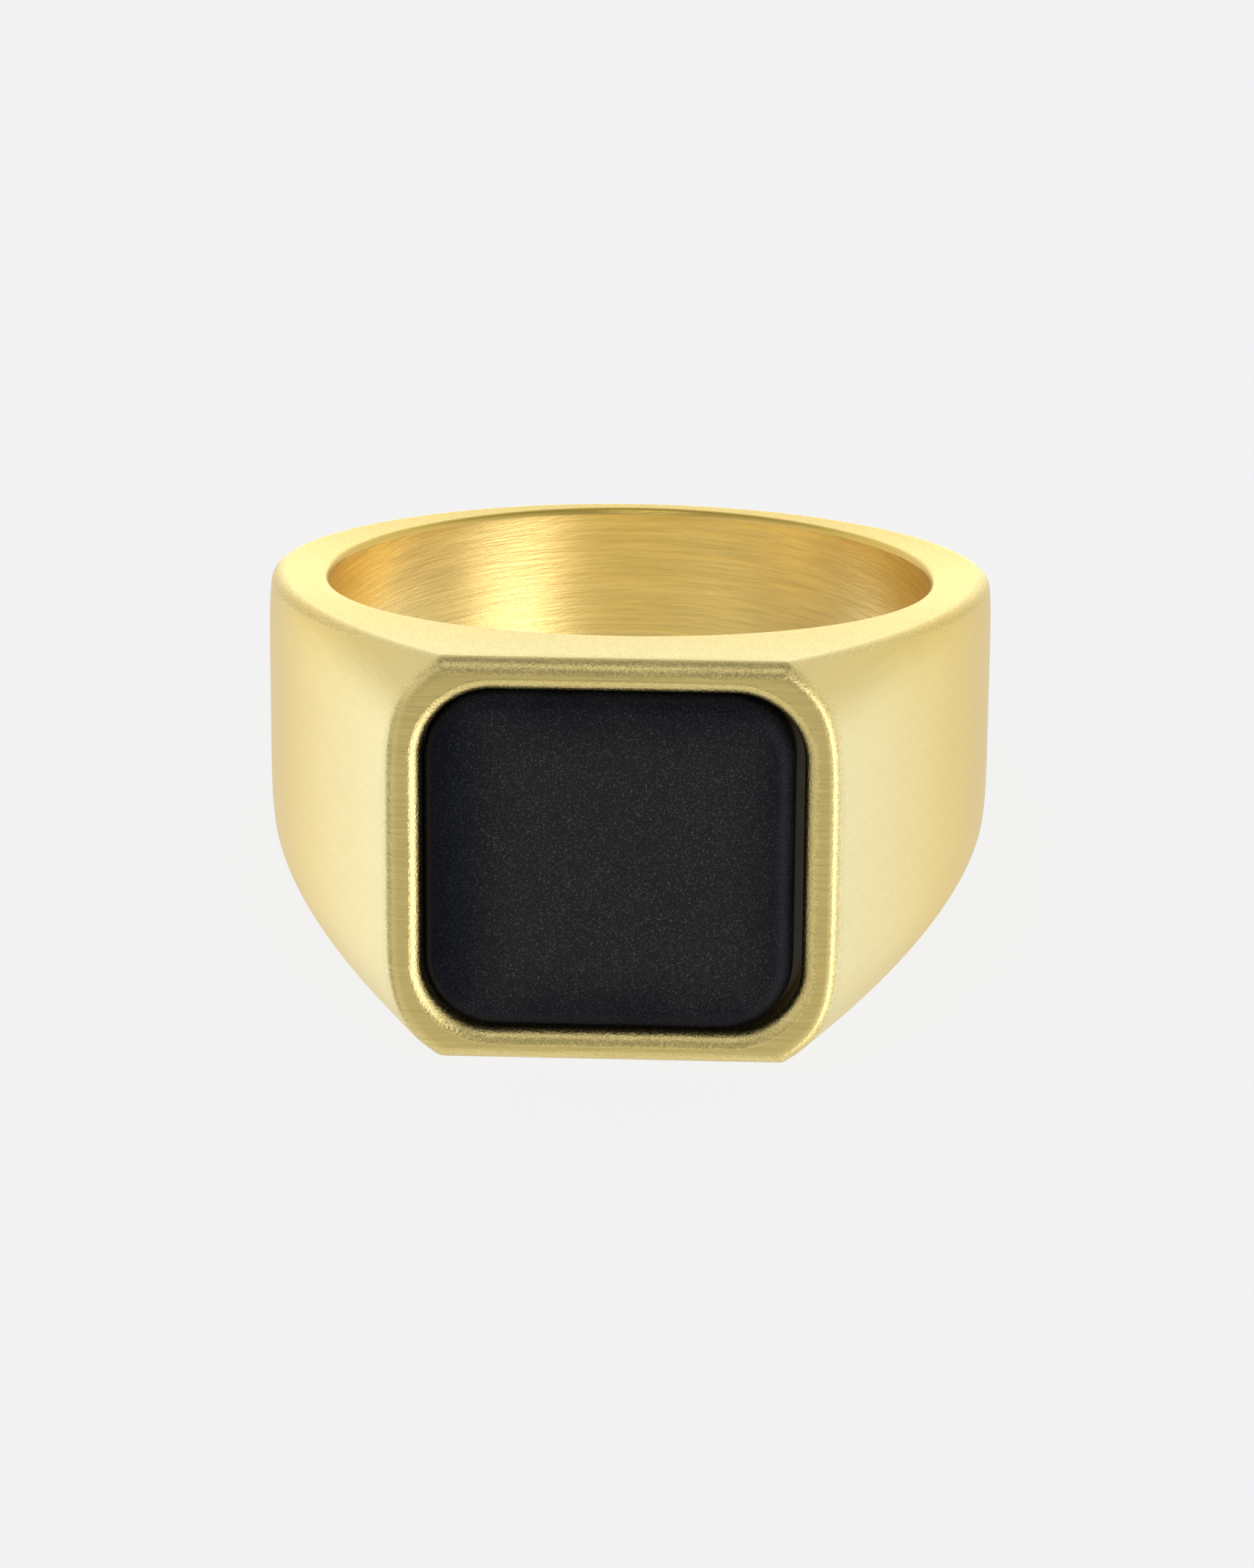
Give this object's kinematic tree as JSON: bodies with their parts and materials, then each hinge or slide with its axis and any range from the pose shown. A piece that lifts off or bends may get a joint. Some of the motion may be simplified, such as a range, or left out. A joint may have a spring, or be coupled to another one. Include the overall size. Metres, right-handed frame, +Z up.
{
  "type": "signet ring",
  "caption": "Finger ring whose shoulders rise to a flat, square bezel with a recessed flat black stone; the band tapers towards the back.",
  "frame": {"origin": "middle of the footprint of the ring lying on its side, at the height of the table it lies on", "axes": "+Z up, close to the finger hole's axis, which leans 8.4 degrees from it towards +Y; -Y is the way the bezel faces, tipped up by the same 8.4 degrees; +X is on the right of someone looking at the bezel"},
  "size_m": [0.0238, 0.0264, 0.0134],
  "materials": {
    "gold_metal": "gold-tone metal, finely brushed, satin on the band's two side faces",
    "black_stone": "matte black onyx with fine light specks",
    "adhesive": "cured clear epoxy, darkened by the stone above it"
  },
  "bodies": {
    "root": {"ring_body": "gold_metal", "onyx_inlay": "black_stone", "adhesive_bed": "adhesive"}
  },
  "joints": []
}
